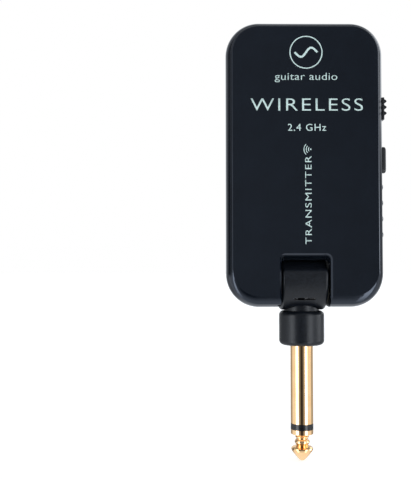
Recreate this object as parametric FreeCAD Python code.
import FreeCAD, Part
import math
import os

from FreeCAD import Vector

# Clip-on wireless guitar transmitter, in millimetres.
# Origin: the plug's shoulder, on the plug's axis. +Z runs up the plug's axis into the housing,
# and the printed front of the housing faces -Y.

# ---- Driving dimensions -------------------------------------------------------------------
BODY_WIDTH = 43.0
BODY_BOTTOM = 10.9
BODY_TOP = 88.9
BODY_DEPTH = 20.0
CORNER_RADIUS = 9.0  # of the housing's widest outline
WALL = 1.6
CAVITY_INSET = 2.6  # of the inside of the side walls, from the widest outline

HINGE_Z = 16.4
CLEARANCE = 0.4  # between the swivelling arm and the notch
CEILING_FACE_Z = 25.1  # of the notch's sloped ceiling, at the front and back faces
CEILING_SLOPE_DEG = 30.0

PLUG_RADIUS = 3.175  # quarter-inch jack plug
PLUG_SLEEVE_LENGTH = 21.9
SHANK_RADIUS = 2.7  # where the plug's sleeve goes on up into the boot
PLUG_LENGTH = 32.4

CONTROL_Y = -5.6  # depth of the side controls
SWITCH_Z = 65.4
SWITCH_TRAVEL = 1.8
BUTTON_Z = 51.3
BUTTON_TRAVEL = 0.3
LED_Z = [30.7, 35.07, 39.43, 43.8]

# ---- Worked out from them -----------------------------------------------------------------
HALF_WIDTH = BODY_WIDTH / 2
FRONT_Y = -BODY_DEPTH / 2
BACK_Y = BODY_DEPTH / 2
SEAM_Y = FRONT_Y + 0.8  # the covers meet here
SEAM_INSET = 1.1  # of the outline at the seam, from the widest outline
BEAD_Y = FRONT_Y + 4.0  # the rear cover's rim rounds out to its full width here
BACK_INSET = 4.6  # of the flat back
DEEP_CAVITY_INSET = 4.3
DEEP_CAVITY_Y = 4.0
CAVITY_BACK_Y = BACK_Y - WALL
COVER_INNER_Y = FRONT_Y + 1.8  # inside face of the front cover
LIP_END_Y = FRONT_Y + 2.2
LIP_GAP = 0.1  # between the front cover's lip and the rear cover's walls
LIP_THICKNESS = 1.0
NOTCH_EDGE_BREAK = 0.45

BOOT_RADIUS = 6.3
BOOT_LENGTH = 9.6
BOOT_ROUNDING = 1.3
NECK_RADIUS = 4.9
KNUCKLE_HALF = 6.3  # half the width of the arm's head, along the hinge
KNUCKLE_RADIUS = 9.4  # of its front, back and underside
KNUCKLE_CENTRE_Z = BOOT_LENGTH + 0.2 + KNUCKLE_RADIUS
KNUCKLE_TOP = 21.5
KNUCKLE_TOP_ROUNDING = 1.8
KNUCKLE_EDGE_ROUNDING = 0.8
KNUCKLE_REACH = 10.1  # of its furthest corner from the hinge
CROWN_RADIUS = 8.6  # of the round crown on the knuckle, which closes the notch behind its ceiling's lip
NOTCH_HALF = KNUCKLE_HALF + CLEARANCE
POCKET_RADIUS = KNUCKLE_REACH + CLEARANCE
NOTCH_WALL_X = NOTCH_HALF + WALL

PIVOT_RADIUS = 2.2
PIVOT_BORE = 1.3
PIVOT_FLANGE_RADIUS = 2.85
RUNNING_GAP = 0.05
PRESS_GAP = 0.01

BOARD_FRONT_Y = -3.8
BOARD_BACK_Y = -2.6
BOARD_HALF_WIDTH = 18.2
BOARD_BOTTOM = 28.8
BOARD_TOP = 85.6
BOARD_CORNER = 5.0
BOARD_HOLE_GAP = 0.2
BOARD_SCREWS = [(6.0, 31.0), (0.0, 81.0)]

BOSS_RADIUS = 2.6
BOSS_END_Y = 6.9
CASE_SCREWS = [(-14.3, 22.5), (14.3, 22.5), (-14.5, 80.5), (14.5, 80.5)]
SCREW_SEAT_Y = 8.3
SEAT_RADIUS = 2.9
SEAT_MERGE = 0.2
HEAD_GAP = 0.2  # round the case screws, in the rear cover

SIDE_INNER_X = HALF_WIDTH - CAVITY_INSET  # inside face of the side wall
FRONT_RIM = [  # depth, inset, inset of the bottom edge, corner radius
    (SEAM_Y, SEAM_INSET + 0.1, 0.95, None),
    (FRONT_Y + 0.35, 1.42, 1.85, 7.5),
    (FRONT_Y, 1.75, 3.1, 7.2),
]
RIM_STEPS = 6
SIDE_STEPS = 6

CASE_SHANK_RADIUS = 1.0
CASE_SHANK_TIP_Y = -1.5
CASE_HEAD_RADIUS = 1.9
CASE_HEAD_HEIGHT = 1.1
CASE_HEAD_ROUNDING = 0.45
BOARD_SHANK_RADIUS = 0.8
BOARD_SHANK_TIP_Y = -7.2
BOARD_HEAD_RADIUS = 1.5
BOARD_HEAD_HEIGHT = 0.9
POST_RADIUS = 2.0  # of the posts that the board stands on
RECESS_DEPTH = 0.65
PILOT_SPARE = 0.5  # of each case screw's pilot hole, past the end of the screw
BOARD_PILOT_SPARE = 0.2

LABEL_HALF_WIDTH = 12.0
LABEL_Z = (36.0, 68.0)
LABEL_CORNER = 1.5
LABEL_RECESS = 0.2
LABEL_SUNK = 0.05

SHIELD_HALF_WIDTH = 9.0
SHIELD_Z = (58.0, 76.0)
SHIELD_HEIGHT = 2.2
SHIELD_SHEET = 0.3
SHIELD_ROUNDING = 0.5
CAPACITOR_PLACES = [(-12, 38), (-12, 41), (-1, 36), (-1, 46), (12, 38), (12, 41), (12, 44), (-12, 53)]
CAPACITOR_HALF_LENGTH = 0.8
CAPACITOR_HALF_WIDTH = 0.4
CAPACITOR_HEIGHT = 0.8

CELL_X = (-17.0, 12.0)
CELL_Y = (0.8, 6.8)
CELL_Z = (34.0, 75.5)
CELL_ROUNDING = 1.6
PAD_MARGIN_X = 3.0
PAD_MARGIN_Z = (4.0, 4.5)
LEAD_X = (-8.2, -5.8)
LEAD_RADIUS = 0.5
LEAD_Y = BOARD_BACK_Y + 1.5
LEAD_START = (3.2, 78.0)  # depth and height where the leads leave the protection board
LEAD_TURN_Z = 84.6
LEAD_END_Z = 79.2
CONNECTOR_SIDE = 2.0  # from the connector's ends to its leads
CONNECTOR_Z = (77.4, 81.0)
CONNECTOR_HEIGHT = 3.0

USB_HALF_WIDTH = 3.75
USB_HALF_DEPTH = 1.23
USB_Y = BOARD_BACK_Y + USB_HALF_DEPTH  # the charging socket stands on the board
USB_Z = (83.4, 88.4)
USB_SHEET = 0.3
USB_MOUTH_HALF = (4.2, 1.65)  # of the opening in the housing, across and deep
USB_TONGUE_Z = (84.6, 87.9)

SWITCH_BODY_X = (13.5, 17.8)
SWITCH_BODY_HALF = 3.3
SWITCH_HOLLOW_X = 14.2
SWITCH_HOLLOW_HALF = 2.6
SWITCH_BODY_FRONT_Y = CONTROL_Y - 1.7
SWITCH_MIDDLE_Z = SWITCH_Z - SWITCH_TRAVEL / 2
LEVER_SLUG_X = (14.5, 17.4)
LEVER_SLUG_HALF = (1.0, 1.2)  # deep and high, as for the sizes below
LEVER_NOSE_END_X = 19.6
LEVER_NOSE_HALF = (0.5, 0.55)
LEVER_FIT = 0.02
KNOB_BASE_X = HALF_WIDTH + 0.1
KNOB_CAP_HALF = (1.6, 3.1)
KNOB_STEM_START_X = 18.2
KNOB_STEM_HALF = (0.85, 1.0)
KNOB_RIB_PITCH = 1.65
KNOB_RIB_RISE = 1.15
KNOB_RIB_HALF = 1.45
KNOB_RIB_FOOT_HALF = 0.75
KNOB_RIB_CREST_HALF = 0.18
SLOT_SIDE = 0.15  # between the knob's stem and its slot

BUTTON_HALF = (3.65, 1.3)
BUTTON_FLANGE_HALF = (4.3, 1.75)
BUTTON_GAP = 0.15
BUTTON_PROUD = 1.1
PLUNGER_TIP_X = SIDE_INNER_X - 0.6
PLUNGER_START_X = 16.7
PLUNGER_RADIUS = 0.85
TACT_X = (13.6, 17.4)
TACT_HALF = 3.0

LENS_RADIUS = 0.9
LENS_PROUD = 0.35
LED_X = (16.4, 17.8)
LED_HALF = 0.8

PIVOT_INNER_X = 3.4  # of the bushes' ends inside the arm
PIVOT_FLANGE = 0.8
WASHER_RADIUS = 4.5
WASHER_THICKNESS = 0.3

SLEEVE_END = -PLUG_SLEEVE_LENGTH
RING_LENGTH = 1.7
RING_END = SLEEVE_END - RING_LENGTH
TIP_COLLAR_LENGTH = 1.3
TIP_ROD_RADIUS = 1.1
LINER_RADIUS = 1.8
FLANGE_RADIUS = 4.7  # of the sleeve's flange, held in the boot
FLANGE_Z = (2.0, 3.5)
FLANGE_SEAT = 0.02
FLANGE_FLAT_Y = 4.0
SLEEVE_TOP = 4.4  # the sleeve terminal is riveted here
LINER_TOP = 6.6  # the tip terminal is riveted here
RIVET_Z = (7.0, 7.5)
TERMINAL_SHEET = 0.4

CABLE_RADIUS = 0.9
CABLE_START_Z = 9.75
CABLE_CORE_Z = 10.0
CABLE_JOIN_X = -6.7  # inside the bush, where the arm's stretch of cable meets the housing's


# ---- Shape helpers ------------------------------------------------------------------------
def block(x, y, z):
    """A box from three (low, high) pairs."""
    return Part.makeBox(x[1] - x[0], y[1] - y[0], z[1] - z[0], Vector(x[0], y[0], z[0]))


def around(centre, half):
    return (centre - half, centre + half)


def rod(radius, start, direction, length):
    return Part.makeCylinder(radius, length, Vector(*start), Vector(*direction))


def tube(outer, inner, start, direction, length):
    return rod(outer, start, direction, length).cut(rod(inner, start, direction, length))


def merged(shapes):
    first, rest = shapes[0], shapes[1:]
    return first.multiFuse(rest).removeSplitter() if rest else first


def rounded_outline(y, half_width, bottom, top, radius):
    """A rounded rectangle in the plane at depth y: four lines and four arcs."""
    centres = [
        (half_width - radius, top - radius, 0),
        (-half_width + radius, top - radius, 90),
        (-half_width + radius, bottom + radius, 180),
        (half_width - radius, bottom + radius, 270),
    ]

    def on_arc(corner, degrees):
        x, z, first = corner
        a = math.radians(first + degrees)
        return Vector(x + radius * math.cos(a), y, z + radius * math.sin(a))

    edges = []
    for i, corner in enumerate(centres):
        after = centres[(i + 1) % 4]
        edges.append(Part.Arc(*[on_arc(corner, d) for d in (0, 45, 90)]).toShape())
        edges.append(Part.LineSegment(on_arc(corner, 90), on_arc(after, 0)).toShape())
    return Part.Wire(edges)


def body_outline(y, inset, bottom_inset=None, radius=None):
    """The housing's outline at depth y, inset from its widest outline."""
    return rounded_outline(
        y,
        HALF_WIDTH - inset,
        BODY_BOTTOM + (inset if bottom_inset is None else bottom_inset),
        BODY_TOP - inset,
        CORNER_RADIUS - inset if radius is None else radius,
    )


def body_prism(y, inset):
    return Part.Face(body_outline(y[0], inset)).extrude(Vector(0, y[1] - y[0], 0))


def stadium(x, y_centre, z_centre, half_length, half_width):
    """A slot shape with round ends, long in Z, running along X."""
    straight = half_length - half_width

    def point(across, along):
        return Vector(x[0], y_centre + across, z_centre + along)

    top = Part.Arc(
        point(half_width, straight), point(0, half_length), point(-half_width, straight)
    )
    bottom = Part.Arc(
        point(-half_width, -straight), point(0, -half_length), point(half_width, -straight)
    )
    sides = [
        Part.LineSegment(point(-half_width, straight), point(-half_width, -straight)),
        Part.LineSegment(point(half_width, -straight), point(half_width, straight)),
    ]
    wire = Part.Wire([curve.toShape() for curve in (top, sides[0], bottom, sides[1])])
    return Part.Face(wire).extrude(Vector(x[1] - x[0], 0, 0))


def edges_where(shape, test):
    return [e for e in shape.Edges if test(e.BoundBox)]


def rounded(shape, radius, test):
    """The shape with a fillet on each edge whose bounding box passes the test."""
    return shape.makeFillet(radius, edges_where(shape, test))


def turned(points):
    """A solid of revolution about Z from (radius, z) points joined by lines."""
    corners = [Vector(r, 0, z) for r, z in points]
    wire = Part.makePolygon(corners + [corners[0]])
    return Part.Face(wire).revolve(Vector(0, 0, 0), Vector(0, 0, 1), 360)


def wire_along(points, radius):
    """A round wire of straight runs joined by the largest tangent arcs that the runs allow."""
    corners = [Vector(*p) for p in points]
    edges, last = [], corners[0]
    for before, here, after in zip(corners, corners[1:], corners[2:]):
        into, out = (here - before), (after - here)
        turn = into.getAngle(out)
        reach = 0.45 * min(into.Length, out.Length)
        bend = reach / math.tan(turn / 2)
        into.normalize()
        out.normalize()
        start, end = here - into * reach, here + out * reach
        inward = out - into
        inward.normalize()
        middle = here + inward * (bend / math.cos(turn / 2) - bend)
        edges += [Part.LineSegment(last, start).toShape(), Part.Arc(start, middle, end).toShape()]
        last = end
    edges.append(Part.LineSegment(last, corners[-1]).toShape())
    path = Part.Wire(edges)
    profile = Part.Wire(Part.makeCircle(radius, corners[0], corners[1] - corners[0]))
    return path.makePipeShell([profile], True, False)


# ---- The notch that the plug arm swings in -------------------------------------------------
CEILING_ROUNDING = KNUCKLE_EDGE_ROUNDING + CLEARANCE  # keeps an even gap round the knuckle's edges
CEILING_SLOPE = math.tan(math.radians(CEILING_SLOPE_DEG))
CEILING_MIDDLE_Z = CEILING_FACE_Z - BACK_Y * CEILING_SLOPE
OVER = 6.0  # how far cutting shapes run past what they cut


def ceiling_z(y):
    return CEILING_MIDDLE_Z + abs(y) * CEILING_SLOPE


def notch_void(grow=0.0):
    """The space cut for the arm, made larger all round by grow for the walls about it."""
    half = NOTCH_HALF + grow
    below = BODY_BOTTOM - OVER
    reach = BODY_DEPTH / 2 + 1
    rise = grow / math.cos(math.radians(CEILING_SLOPE_DEG))
    corner = CEILING_ROUNDING + grow
    halves = []
    for side in (-1, 1):
        points = [
            Vector(-half, 0, below),
            Vector(-half, side * reach, below),
            Vector(-half, side * reach, ceiling_z(reach) + rise),
            Vector(-half, 0, ceiling_z(0) + rise),
        ]
        solid = Part.Face(Part.makePolygon(points + [points[0]])).extrude(Vector(2 * half, 0, 0))
        halves.append(
            rounded(
                solid,
                corner,
                lambda b: b.XLength < 1e-6 and b.ZMin > BODY_BOTTOM and b.YLength > reach / 2,
            )
        )
    pocket = rod(POCKET_RADIUS + grow, (-half, 0, HINGE_Z), (1, 0, 0), 2 * half)
    pocket = rounded(pocket, corner, lambda b: b.XLength < 1e-6)
    return merged(halves + [pocket])


def notch_chamfer(size):
    """Breaks the notch's edge where it meets the front face."""

    def outline(y, grow):
        half, top = NOTCH_HALF + grow, ceiling_z(FRONT_Y) + grow
        radius = CEILING_ROUNDING + grow
        low = BODY_BOTTOM - OVER
        lean = radius * math.sin(math.radians(45))
        bend = [
            Part.Arc(
                Vector(s * half, y, top - radius),
                Vector(s * (half - radius + lean), y, top - radius + lean),
                Vector(s * (half - radius), y, top),
            ).toShape()
            for s in (1, -1)
        ]
        lines = [
            ((half, low), (half, top - radius)),
            ((half - radius, top), (radius - half, top)),
            ((-half, top - radius), (-half, low)),
            ((-half, low), (half, low)),
        ]
        right, roof, left, floor = [
            Part.LineSegment(Vector(a[0], y, a[1]), Vector(b[0], y, b[1])).toShape()
            for a, b in lines
        ]
        return Part.Wire([right, bend[0], roof, bend[1], left, floor])

    over = 0.5
    return Part.makeLoft(
        [outline(FRONT_Y + size, 0.0), outline(FRONT_Y - over, size + over)], True, True
    )


# ---- Housing ------------------------------------------------------------------------------
def front_skin():
    """The front cover's outside: a flat face with a rolled rim, deepest along the bottom."""
    return Part.makeLoft([body_outline(*section) for section in FRONT_RIM], True, False)


def rear_skin():
    """The rear cover's outside: a rim rounded out from the seam, then sides that curve to the back."""
    rim_depth, side_depth = BEAD_Y - SEAM_Y, BACK_Y - BEAD_Y
    sweep = 2 * math.atan(SEAM_INSET / rim_depth)
    rim_radius = rim_depth / math.sin(sweep)
    sections = []
    for step in range(RIM_STEPS + 1):
        a = sweep * (1 - step / RIM_STEPS)
        sections.append((BEAD_Y - rim_radius * math.sin(a), rim_radius * (1 - math.cos(a))))
    bead = Part.makeLoft([body_outline(y, inset) for y, inset in sections], True, False)
    sections = []
    for step in range(SIDE_STEPS + 1):
        a = math.pi / 2 * step / SIDE_STEPS
        sections.append((BEAD_Y + side_depth * math.sin(a), BACK_INSET * (1 - math.cos(a))))
    sides = Part.makeLoft([body_outline(y, inset) for y, inset in sections], True, False)
    return bead.fuse(sides)


def front_cover():
    skin = front_skin()
    lip_inset = CAVITY_INSET + LIP_GAP
    backing = body_prism((SEAM_Y, COVER_INNER_Y), lip_inset)
    lip = body_prism((SEAM_Y, LIP_END_Y), lip_inset).cut(
        body_prism((SEAM_Y, LIP_END_Y), lip_inset + LIP_THICKNESS)
    )
    inner = merged([backing, lip]).cut(notch_void(WALL + LIP_GAP))
    bosses = [
        rod(BOSS_RADIUS, (x, SEAM_Y, z), (0, 1, 0), BOSS_END_Y - SEAM_Y) for x, z in CASE_SCREWS
    ]
    posts = [
        rod(POST_RADIUS, (x, SEAM_Y, z), (0, 1, 0), BOARD_FRONT_Y - SEAM_Y) for x, z in BOARD_SCREWS
    ]
    cover = merged([skin, inner] + bosses + posts)
    pilots = []
    for x, z in CASE_SCREWS:
        start = (x, CASE_SHANK_TIP_Y - PILOT_SPARE, z)
        pilots.append(rod(CASE_SHANK_RADIUS + PRESS_GAP, start, (0, 1, 0), BODY_DEPTH / 2))
    for x, z in BOARD_SCREWS:
        start = (x, BOARD_SHANK_TIP_Y - BOARD_PILOT_SPARE, z)
        pilots.append(rod(BOARD_SHANK_RADIUS + PRESS_GAP, start, (0, 1, 0), OVER - 1))
    notch = merged([notch_void(), notch_chamfer(NOTCH_EDGE_BREAK)])
    return cover.cut(notch).cut(Part.makeCompound(pilots))


def side_openings():
    """What is cut through the right-hand wall for the controls and lights."""
    through = (SIDE_INNER_X - 1, HALF_WIDTH + 1)
    slot_half = KNOB_STEM_HALF[1] + SLOT_SIDE
    switch_slot = block(
        through,
        around(CONTROL_Y, KNOB_STEM_HALF[0] + SLOT_SIDE),
        (SWITCH_Z - slot_half - SWITCH_TRAVEL, SWITCH_Z + slot_half),
    )
    hole_half = [half + BUTTON_GAP for half in BUTTON_HALF]
    button_hole = stadium(through, CONTROL_Y, BUTTON_Z, *hole_half)
    length = through[1] - through[0]
    lights = [
        rod(LENS_RADIUS + RUNNING_GAP, (through[0], CONTROL_Y, z), (1, 0, 0), length) for z in LED_Z
    ]
    return [switch_slot, button_hole] + lights


def rear_cover():
    skin = rear_skin()
    cavity = merged(
        [
            body_prism((SEAM_Y - 1, DEEP_CAVITY_Y), CAVITY_INSET),
            body_prism((SEAM_Y - 1, CAVITY_BACK_Y), DEEP_CAVITY_INSET),
        ]
    )
    notch_walls = notch_void(WALL).common(skin)
    screw_seats = [
        rod(SEAT_RADIUS, (x, BOSS_END_Y, z), (0, 1, 0), CAVITY_BACK_Y + SEAT_MERGE - BOSS_END_Y)
        for x, z in CASE_SCREWS
    ]
    cover = merged([skin.cut(cavity), notch_walls] + screw_seats)
    cuts = [notch_void()] + side_openings()
    cuts.append(
        rod(PIVOT_RADIUS + PRESS_GAP, (-NOTCH_WALL_X - 1, 0, HINGE_Z), (1, 0, 0), 2 * NOTCH_WALL_X + 2)
    )
    for x, z in CASE_SCREWS:
        cuts.append(rod(CASE_SHANK_RADIUS + HEAD_GAP, (x, BOSS_END_Y - 1, z), (0, 1, 0), OVER - 1))
        cuts.append(rod(CASE_HEAD_RADIUS + HEAD_GAP, (x, SCREW_SEAT_Y, z), (0, 1, 0), OVER / 2))
    cuts.append(usb_mouth())
    cuts.append(label_shape((BACK_Y - LABEL_RECESS, BACK_Y + 1), LIP_GAP))
    return cover.cut(cuts)


def label_shape(y, grow):
    return Part.Face(
        rounded_outline(
            y[0], LABEL_HALF_WIDTH + grow, LABEL_Z[0] - grow, LABEL_Z[1] + grow, LABEL_CORNER + grow
        )
    ).extrude(Vector(0, y[1] - y[0], 0))


def rear_label():
    return label_shape((BACK_Y - LABEL_RECESS, BACK_Y - LABEL_SUNK), 0.0)


def case_screws():
    """Four pan-head self-tapping screws with cross recesses."""
    screws = []
    for x, z in CASE_SCREWS:
        head = rod(CASE_HEAD_RADIUS, (x, SCREW_SEAT_Y, z), (0, 1, 0), CASE_HEAD_HEIGHT)
        head = rounded(head, CASE_HEAD_ROUNDING, lambda b: b.YMin > SCREW_SEAT_Y + CASE_HEAD_HEIGHT / 2)
        shank_length = SCREW_SEAT_Y - CASE_SHANK_TIP_Y
        shank = rod(CASE_SHANK_RADIUS, (x, CASE_SHANK_TIP_Y, z), (0, 1, 0), shank_length)
        floor = SCREW_SEAT_Y + CASE_HEAD_HEIGHT - RECESS_DEPTH
        recess = [
            block(around(x, long), (floor, BACK_Y + 1), around(z, short))
            for long, short in ((1.15, 0.25), (0.25, 1.15))
        ]
        screws.append(merged([head, shank]).cut(recess))
    return Part.makeCompound(screws)


# ---- Electronics --------------------------------------------------------------------------
def main_board():
    board = block(
        (-BOARD_HALF_WIDTH, BOARD_HALF_WIDTH), (BOARD_FRONT_Y, BOARD_BACK_Y), (BOARD_BOTTOM, BOARD_TOP)
    )
    board = rounded(board, BOARD_CORNER, lambda b: b.XLength < 1e-6 and b.ZLength < 1e-6)
    holes = [
        rod(BOSS_RADIUS + BOARD_HOLE_GAP, (x, -OVER, z), (0, 1, 0), OVER)
        for x, z in CASE_SCREWS
        if z > BOARD_BOTTOM
    ]
    screw_hole = BOARD_SHANK_RADIUS + BOARD_HOLE_GAP / 2
    holes += [rod(screw_hole, (x, -OVER, z), (0, 1, 0), OVER) for x, z in BOARD_SCREWS]
    return board.cut(holes)


def board_screws():
    screws = []
    for x, z in BOARD_SCREWS:
        head = rod(BOARD_HEAD_RADIUS, (x, BOARD_BACK_Y, z), (0, 1, 0), BOARD_HEAD_HEIGHT)
        shank_length = BOARD_BACK_Y - BOARD_SHANK_TIP_Y
        shank = rod(BOARD_SHANK_RADIUS, (x, BOARD_SHANK_TIP_Y, z), (0, 1, 0), shank_length)
        floor = BOARD_BACK_Y + BOARD_HEAD_HEIGHT / 2
        slot = block(around(x, 1.0), (floor, floor + BOARD_HEAD_HEIGHT), around(z, 0.2))
        screws.append(merged([head, shank]).cut(slot))
    return Part.makeCompound(screws)


def on_front(x, z, height):
    """A component on the board's front face, from (low, high) pairs."""
    return block(x, (BOARD_FRONT_Y - height, BOARD_FRONT_Y), z)


def rf_shield():
    low, high = SHIELD_Z
    can = on_front(around(0, SHIELD_HALF_WIDTH), SHIELD_Z, SHIELD_HEIGHT)
    can = rounded(can, SHIELD_ROUNDING, lambda b: b.YMax < BOARD_FRONT_Y - SHIELD_HEIGHT / 2)
    inside = (low + SHIELD_SHEET, high - SHIELD_SHEET)
    hollow = on_front(around(0, SHIELD_HALF_WIDTH - SHIELD_SHEET), inside, SHIELD_HEIGHT - SHIELD_SHEET)
    return can.cut(hollow)


def radio_chips():
    return Part.makeCompound(
        [on_front((-5, 1), (64, 70), 0.9), on_front((3, 7), (60, 64), 0.8)]
    )


def audio_chips():
    return Part.makeCompound(
        [
            on_front((-10, -4), (44, 50), 0.9),
            on_front((2, 7), (38, 42), 0.9),
            on_front((4, 10), (47, 52), 1.2),
        ]
    )


def board_capacitors():
    return Part.makeCompound(
        [
            on_front(around(x, CAPACITOR_HALF_LENGTH), around(z, CAPACITOR_HALF_WIDTH), CAPACITOR_HEIGHT)
            for x, z in CAPACITOR_PLACES
        ]
    )


def crystal_can():
    can = on_front((-2.0, 1.2), (52.0, 54.5), 0.8)
    return rounded(can, 0.3, lambda b: b.XLength < 1e-6 and b.ZLength < 1e-6)


def chip_antenna():
    return on_front((4.0, 11.0), (82.4, 84.4), 1.2)


def battery_cell():
    cell = block(CELL_X, CELL_Y, CELL_Z)
    return rounded(cell, CELL_ROUNDING, lambda b: b.YLength < 1e-6 and b.XLength < 1e-6)


def battery_pad():
    return block(
        (CELL_X[0] + PAD_MARGIN_X, CELL_X[1] - PAD_MARGIN_X),
        (CELL_Y[1], CAVITY_BACK_Y),
        (CELL_Z[0] + PAD_MARGIN_Z[0], CELL_Z[1] - PAD_MARGIN_Z[1]),
    )


def protection_board():
    return block(
        (CELL_X[0] + 4.0, CELL_X[1] - 4.0), around(LEAD_START[0], 1.0), (CELL_Z[1], LEAD_START[1])
    )


def battery_connector():
    across = (LEAD_X[0] - CONNECTOR_SIDE, LEAD_X[1] + CONNECTOR_SIDE)
    shell = block(across, (BOARD_BACK_Y, BOARD_BACK_Y + CONNECTOR_HEIGHT), CONNECTOR_Z)
    sockets = [rod(LEAD_RADIUS, (x, LEAD_Y, LEAD_END_Z), (0, 0, 1), OVER) for x in LEAD_X]
    return shell.cut(sockets)


def battery_lead(x):
    y, z = LEAD_START
    route = [(x, y, z), (x, y, LEAD_TURN_Z), (x, LEAD_Y, LEAD_TURN_Z), (x, LEAD_Y, LEAD_END_Z)]
    return wire_along(route, LEAD_RADIUS)


def usb_mouth():
    across, deep = USB_MOUTH_HALF
    return block(around(0, across), around(USB_Y, deep), (BODY_TOP - CAVITY_INSET - 1.4, BODY_TOP + 1))


def usb_shell():
    shells = []
    for inset, rounding in ((0.0, 0.6), (USB_SHEET, 0.35)):
        shell = block(
            around(0, USB_HALF_WIDTH - inset),
            around(USB_Y, USB_HALF_DEPTH - inset),
            (USB_Z[0] + inset, USB_Z[1] + 2 * inset),
        )
        shells.append(rounded(shell, rounding, lambda b: b.XLength < 1e-6 and b.YLength < 1e-6))
    outer, inner = shells
    return outer.cut(inner)


def usb_tongue():
    base_z = (USB_Z[0] + USB_SHEET + RUNNING_GAP, USB_TONGUE_Z[0])
    base = block(around(0, 3.3), around(USB_Y, 0.82), base_z)
    tongue = block(around(0, 1.9), around(USB_Y, 0.3), USB_TONGUE_Z)
    return merged([base, tongue])


# ---- Power slide switch -------------------------------------------------------------------
def upright_bar(x, z, half):
    """A bar along X at the side controls' depth, from its (deep, high) half sizes."""
    return block(x, around(CONTROL_Y, half[0]), around(z, half[1]))


def switch_frame():
    frame = block(
        SWITCH_BODY_X,
        (SWITCH_BODY_FRONT_Y, BOARD_FRONT_Y),
        around(SWITCH_MIDDLE_Z, SWITCH_BODY_HALF),
    )
    hollow = block(
        (SWITCH_HOLLOW_X, SWITCH_BODY_X[1] + 1),
        around(CONTROL_Y, LEVER_SLUG_HALF[0] + HEAD_GAP),
        around(SWITCH_MIDDLE_Z, SWITCH_HOLLOW_HALF),
    )
    return frame.cut(hollow)


def switch_lever():
    slug = upright_bar(LEVER_SLUG_X, SWITCH_Z, LEVER_SLUG_HALF)
    nose = upright_bar((LEVER_SLUG_X[1], LEVER_NOSE_END_X), SWITCH_Z, LEVER_NOSE_HALF)
    return merged([slug, nose])


def power_knob():
    """A ribbed cap outside the wall, with a stem that grips the switch's lever."""
    cap = upright_bar((KNOB_BASE_X, KNOB_BASE_X + 0.5), SWITCH_Z, KNOB_CAP_HALF)
    cap = rounded(cap, 0.3, lambda b: b.XLength > 0.4)
    foot_x, crest_x = KNOB_BASE_X + 0.3, KNOB_BASE_X + KNOB_RIB_RISE
    front = CONTROL_Y - KNOB_RIB_HALF
    ribs = []
    for step in (-1, 0, 1):
        middle = SWITCH_Z + 0.35 + step * KNOB_RIB_PITCH
        points = [
            Vector(foot_x, front, middle - KNOB_RIB_FOOT_HALF),
            Vector(crest_x, front, middle - KNOB_RIB_CREST_HALF),
            Vector(crest_x, front, middle + KNOB_RIB_CREST_HALF),
            Vector(foot_x, front, middle + KNOB_RIB_FOOT_HALF),
        ]
        profile = Part.Face(Part.makePolygon(points + [points[0]]))
        ribs.append(profile.extrude(Vector(0, 2 * KNOB_RIB_HALF, 0)))
    stem = upright_bar((KNOB_STEM_START_X, KNOB_BASE_X + 0.1), SWITCH_Z, KNOB_STEM_HALF)
    grip = [half + LEVER_FIT for half in LEVER_NOSE_HALF]
    socket = upright_bar((KNOB_STEM_START_X - 0.2, LEVER_NOSE_END_X + 0.2), SWITCH_Z, grip)
    return merged([cap, stem] + ribs).cut(socket)


# ---- Channel button and its switch --------------------------------------------------------
def channel_button():
    cap = stadium((SIDE_INNER_X - 0.2, HALF_WIDTH + BUTTON_PROUD), CONTROL_Y, BUTTON_Z, *BUTTON_HALF)
    cap = rounded(cap, 0.4, lambda b: b.XMin > HALF_WIDTH + BUTTON_PROUD / 2)
    flange_x = (PLUNGER_TIP_X, SIDE_INNER_X - RUNNING_GAP)
    flange = stadium(flange_x, CONTROL_Y, BUTTON_Z, *BUTTON_FLANGE_HALF)
    return merged([cap, flange])


def tact_body():
    body = block(TACT_X, (SWITCH_BODY_FRONT_Y, BOARD_FRONT_Y), around(BUTTON_Z, TACT_HALF))
    well = rod(PLUNGER_RADIUS + LIP_GAP, (PLUNGER_START_X - 0.5, CONTROL_Y, BUTTON_Z), (1, 0, 0), 2)
    return body.cut(well)


def tact_plunger():
    length = PLUNGER_TIP_X - PLUNGER_START_X
    return rod(PLUNGER_RADIUS, (PLUNGER_START_X, CONTROL_Y, BUTTON_Z), (1, 0, 0), length)


# ---- Channel lights -----------------------------------------------------------------------
def channel_leds():
    return Part.makeCompound(
        [block(LED_X, (CONTROL_Y - LED_HALF, BOARD_FRONT_Y), around(z, LED_HALF)) for z in LED_Z]
    )


def light_pipe():
    """One clear moulding: a bar inside the wall and a domed lens through it at each light."""
    bar = block(
        (LED_X[1] + 0.1, SIDE_INNER_X - 0.1),
        around(CONTROL_Y, LENS_RADIUS),
        (LED_Z[0] - 1.2, LED_Z[-1] + 1.2),
    )
    lenses = []
    for z in LED_Z:
        start = SIDE_INNER_X - 0.2
        lens = rod(LENS_RADIUS, (start, CONTROL_Y, z), (1, 0, 0), HALF_WIDTH + LENS_PROUD - start)
        lenses.append(rounded(lens, 0.5, lambda b: b.XMin > HALF_WIDTH))
    return merged([bar] + lenses)


# ---- Hinge --------------------------------------------------------------------------------
def mirrored_x(shape):
    return shape.mirror(Vector(0, 0, 0), Vector(1, 0, 0))


def hinge_pivot():
    """A flanged brass bush, pressed into the notch's left wall, that the knuckle turns on."""
    start = -NOTCH_WALL_X
    body = rod(PIVOT_RADIUS, (start, 0, HINGE_Z), (1, 0, 0), NOTCH_WALL_X - PIVOT_INNER_X)
    flange = rod(PIVOT_FLANGE_RADIUS, (start - PIVOT_FLANGE, 0, HINGE_Z), (1, 0, 0), PIVOT_FLANGE)
    bore = rod(PIVOT_BORE, (start - 1, 0, HINGE_Z), (1, 0, 0), NOTCH_WALL_X)
    return merged([body, flange]).cut(bore)


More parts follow.
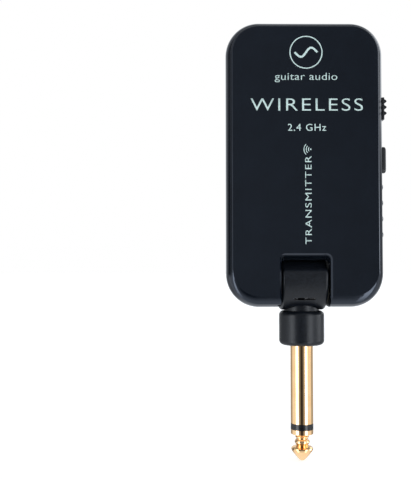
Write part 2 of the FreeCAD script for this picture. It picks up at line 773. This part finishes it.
def friction_washer():
    start = -KNUCKLE_HALF - RUNNING_GAP - WASHER_THICKNESS
    bore = PIVOT_RADIUS + RUNNING_GAP
    return tube(WASHER_RADIUS, bore, (start, 0, HINGE_Z), (1, 0, 0), WASHER_THICKNESS)


# ---- Plug arm -----------------------------------------------------------------------------
def arm_solid():
    drum = rod(KNUCKLE_RADIUS, (-KNUCKLE_HALF, 0, KNUCKLE_CENTRE_Z), (1, 0, 0), 2 * KNUCKLE_HALF)
    kept = block(
        (-KNUCKLE_HALF, KNUCKLE_HALF),
        (-KNUCKLE_RADIUS, KNUCKLE_RADIUS),
        (BOOT_LENGTH, KNUCKLE_TOP),
    )
    knuckle = rounded(
        drum.common(kept),
        KNUCKLE_TOP_ROUNDING,
        lambda b: b.XLength > KNUCKLE_HALF and b.ZMin > KNUCKLE_TOP - 0.1,
    )
    knuckle = rounded(knuckle, KNUCKLE_EDGE_ROUNDING, lambda b: b.XLength < 1e-6)
    crown = rod(CROWN_RADIUS, (-KNUCKLE_HALF, 0, HINGE_Z), (1, 0, 0), 2 * KNUCKLE_HALF)
    crown = rounded(crown, KNUCKLE_EDGE_ROUNDING, lambda b: b.XLength < 1e-6)
    crown = crown.common(
        block(around(0, KNUCKLE_HALF), around(0, CROWN_RADIUS), (HINGE_Z, HINGE_Z + CROWN_RADIUS))
    )
    boot = rod(BOOT_RADIUS, (0, 0, 0), (0, 0, 1), BOOT_LENGTH)
    boot = rounded(boot, BOOT_ROUNDING, lambda b: b.ZLength < 1e-6)
    neck = rod(NECK_RADIUS, (0, 0, BOOT_LENGTH - 1), (0, 0, 1), 3)
    return merged([knuckle, crown, boot, neck])


def arm_hollow():
    """The space inside the arm for the plug, its terminals, the cable and the hinge bushes."""
    seat_height = FLANGE_Z[1] - FLANGE_Z[0] + 2 * FLANGE_SEAT
    return merged(
        [
            rod(SHANK_RADIUS + PRESS_GAP, (0, 0, -1), (0, 0, 1), OVER),
            rod(FLANGE_RADIUS + FLANGE_SEAT, (0, 0, FLANGE_Z[0] - FLANGE_SEAT), (0, 0, 1), seat_height),
            rod(3.6, (0, 0, SLEEVE_TOP - RUNNING_GAP), (0, 0, 1), 6.65),
            rod(2.4, (0, 0, CABLE_CORE_Z), (0, 0, 1), HINGE_Z - CABLE_CORE_Z),
            block(around(0, 3.0), around(0, KNUCKLE_RADIUS - 2.0), around(HINGE_Z - 0.2, 3.4)),
            rod(
                PIVOT_RADIUS + RUNNING_GAP,
                (-KNUCKLE_HALF - 1, 0, HINGE_Z),
                (1, 0, 0),
                2 * KNUCKLE_HALF + 2,
            ),
        ]
    )


def arm_half(side):
    """One moulded half of the arm: side -1 is the front half, 1 the rear."""
    far = 10
    keep = block((-far, far), (0, far) if side > 0 else (-far, 0), (-1, HINGE_Z + far))
    return arm_solid().common(keep).cut(arm_hollow())


# ---- Jack plug ----------------------------------------------------------------------------
def plug_sleeve():
    body = rod(PLUG_RADIUS, (0, 0, SLEEVE_END), (0, 0, 1), PLUG_SLEEVE_LENGTH)
    shank = rod(SHANK_RADIUS, (0, 0, -1), (0, 0, 1), SLEEVE_TOP + 1)
    flange = rod(FLANGE_RADIUS, (0, 0, FLANGE_Z[0]), (0, 0, 1), FLANGE_Z[1] - FLANGE_Z[0])
    flats_z = (FLANGE_Z[0] - 0.1, FLANGE_Z[1] + 0.1)
    flats = [block(around(0, OVER), around(side * (FLANGE_FLAT_Y + 1), 1), flats_z) for side in (-1, 1)]
    bore = rod(LINER_RADIUS + PRESS_GAP, (0, 0, SLEEVE_END - 1), (0, 0, 1), PLUG_LENGTH)
    return merged([body, shank, flange.cut(flats)]).cut(bore)


def plug_insulator():
    liner = rod(LINER_RADIUS, (0, 0, RING_END), (0, 0, 1), LINER_TOP - RING_END)
    ring = rod(PLUG_RADIUS, (0, 0, RING_END), (0, 0, 1), RING_LENGTH)
    bore = rod(TIP_ROD_RADIUS + PRESS_GAP, (0, 0, RING_END - 1), (0, 0, 1), 2 * PLUG_LENGTH)
    return merged([liner, ring]).cut(bore)


def bead(low, high, root, crest):
    """Profile points up a rounded ring between two heights."""
    steps = 8
    return [
        (
            root + (crest - root) * math.sin(math.pi * i / steps),
            low + (high - low) * i / steps,
        )
        for i in range(steps + 1)
    ]


def plug_tip():
    """The turned tip contact, and the rod that carries it up through the plug."""
    end = -PLUG_LENGTH
    collar_end = RING_END - TIP_COLLAR_LENGTH
    cone = [
        (0, end),
        (0.5, end + 0.08),
        (0.9, end + 0.35),
        (1.9, end + 1.45),
        (2.7, end + 2.45),
        (2.95, end + 2.85),
        (3.08, end + 3.3),
        (3.0, end + 3.65),
        (2.6, end + 3.95),
        (1.95, end + 4.2),
    ]
    beads = bead(end + 4.4, end + 6.15, 1.6, 2.12) + bead(end + 6.3, end + 7.1, 1.6, 1.92)
    collar_and_rod = [
        (1.7, collar_end),
        (PLUG_RADIUS - 0.1, collar_end),
        (PLUG_RADIUS, collar_end + 0.1),
        (PLUG_RADIUS, RING_END),
        (TIP_ROD_RADIUS, RING_END),
        (TIP_ROD_RADIUS, RIVET_Z[0]),
        (1.7, RIVET_Z[0]),
        (1.5, RIVET_Z[1]),
        (0, RIVET_Z[1]),
    ]
    return turned(cone + beads + collar_and_rod)


def tip_terminal():
    outer = 2.2
    washer = tube(outer, TIP_ROD_RADIUS + PRESS_GAP, (0, 0, LINER_TOP), (0, 0, 1), TERMINAL_SHEET)
    tag = block((outer - TERMINAL_SHEET, outer), around(0, 0.7), (LINER_TOP, 9.7))
    return merged([washer, tag])


def sleeve_terminal():
    outer = 3.0
    washer = tube(outer, LINER_RADIUS + PRESS_GAP, (0, 0, SLEEVE_TOP), (0, 0, 1), TERMINAL_SHEET)
    tag = block((-outer, TERMINAL_SHEET - outer), around(0, 0.8), (SLEEVE_TOP, 9.2))
    return merged([washer, tag])


def terminal_washer():
    return tube(2.5, LINER_RADIUS + PRESS_GAP, (0, 0, SLEEVE_TOP + TERMINAL_SHEET), (0, 0, 1), 0.8)


def arm_cable():
    """The arm's stretch of cable, with its bare core and braid led to the two terminals."""
    route = [(0, 0, CABLE_START_Z), (0, 0, HINGE_Z), (CABLE_JOIN_X, 0, HINGE_Z)]
    jacket = wire_along(route, CABLE_RADIUS)
    core = rod(0.3, (0.4, 0, CABLE_CORE_Z), (0.63, 0, -0.777), 1.72)
    braid = rod(0.4, (-0.3, 0, CABLE_CORE_Z), (-0.777, 0, -0.63), 2.36)
    return merged([jacket, core, braid])


def housing_cable():
    return wire_along(
        [
            (CABLE_JOIN_X - 0.05, 0, HINGE_Z),
            (-10.6, 0, HINGE_Z),
            (-10.6, 0, 23.5),
            (-9.6, -1.6, 28.5),
            (-9.6, -1.65, 33.0),
        ],
        CABLE_RADIUS,
    )


PARTS = {
    "front_cover": front_cover,
    "rear_cover": rear_cover,
    "rear_label": rear_label,
    "case_screws": case_screws,
    "main_board": main_board,
    "board_screws": board_screws,
    "rf_shield": rf_shield,
    "radio_chips": radio_chips,
    "audio_chips": audio_chips,
    "board_capacitors": board_capacitors,
    "crystal_can": crystal_can,
    "chip_antenna": chip_antenna,
    "battery_cell": battery_cell,
    "battery_pad": battery_pad,
    "battery_protection_board": protection_board,
    "battery_connector": battery_connector,
    "battery_lead_red": lambda: battery_lead(LEAD_X[0]),
    "battery_lead_black": lambda: battery_lead(LEAD_X[1]),
    "usb_shell": usb_shell,
    "usb_tongue": usb_tongue,
    "power_switch_frame": switch_frame,
    "power_switch_lever": switch_lever,
    "power_knob": power_knob,
    "channel_button": channel_button,
    "channel_switch_body": tact_body,
    "channel_switch_plunger": tact_plunger,
    "channel_leds": channel_leds,
    "light_pipe": light_pipe,
    "hinge_pivot_left": hinge_pivot,
    "hinge_pivot_right": lambda: mirrored_x(hinge_pivot()),
    "hinge_washer_left": friction_washer,
    "hinge_washer_right": lambda: mirrored_x(friction_washer()),
    "plug_arm_front": lambda: arm_half(-1),
    "plug_arm_rear": lambda: arm_half(1),
    "plug_sleeve": plug_sleeve,
    "plug_insulator": plug_insulator,
    "plug_tip": plug_tip,
    "tip_terminal": tip_terminal,
    "sleeve_terminal": sleeve_terminal,
    "terminal_washer": terminal_washer,
    "arm_cable": arm_cable,
    "housing_cable": housing_cable,
}

os.makedirs("parts", exist_ok=True)
for name, make in PARTS.items():
    shape = make()
    if not shape.isValid() or not shape.Solids:
        print("check", name, shape.isValid(), len(shape.Solids))
    shape.exportStep(f"parts/{name}.step")
